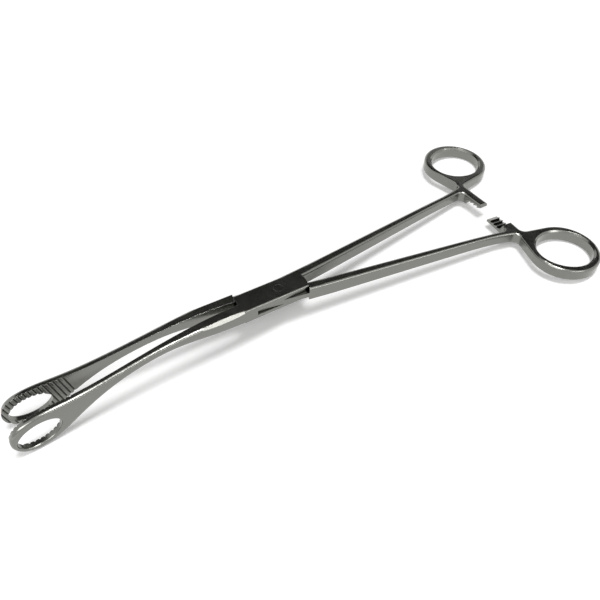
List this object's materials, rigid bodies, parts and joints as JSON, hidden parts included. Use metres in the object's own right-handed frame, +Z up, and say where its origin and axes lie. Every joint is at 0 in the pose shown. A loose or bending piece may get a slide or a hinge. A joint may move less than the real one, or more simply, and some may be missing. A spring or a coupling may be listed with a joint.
{
  "type": "sponge holding forceps",
  "caption": "Long ring-handled holding forceps with a box lock, a ratchet and curved oval windowed jaws with cross teeth, lying open.",
  "frame": {"origin": "centre of the bounding box's bottom face, on the surface that the jaw tips and the ring ends rest on, halves open as at rest", "axes": "+X from the jaws to the finger rings, +Y towards the ring of the half with the box, +Z up"},
  "size_m": [0.2474, 0.1042, 0.0205],
  "materials": {
    "forged_steel": "satin polished stainless steel",
    "pin_steel": "ground flush and polished with the lock"
  },
  "bodies": {
    "box_half": {"female_half": "forged_steel", "pivot_pin": "pin_steel"},
    "passing_half": {"male_half": "forged_steel"}
  },
  "joints": [
    {"name": "box_lock", "type": "hinge", "parent": "box_half", "child": "passing_half", "pos_m": [-0.01227, 0, 0.01452], "axis": [-0.1042, 0, -0.9946], "range_deg": [-5.8, 24]}
  ]
}
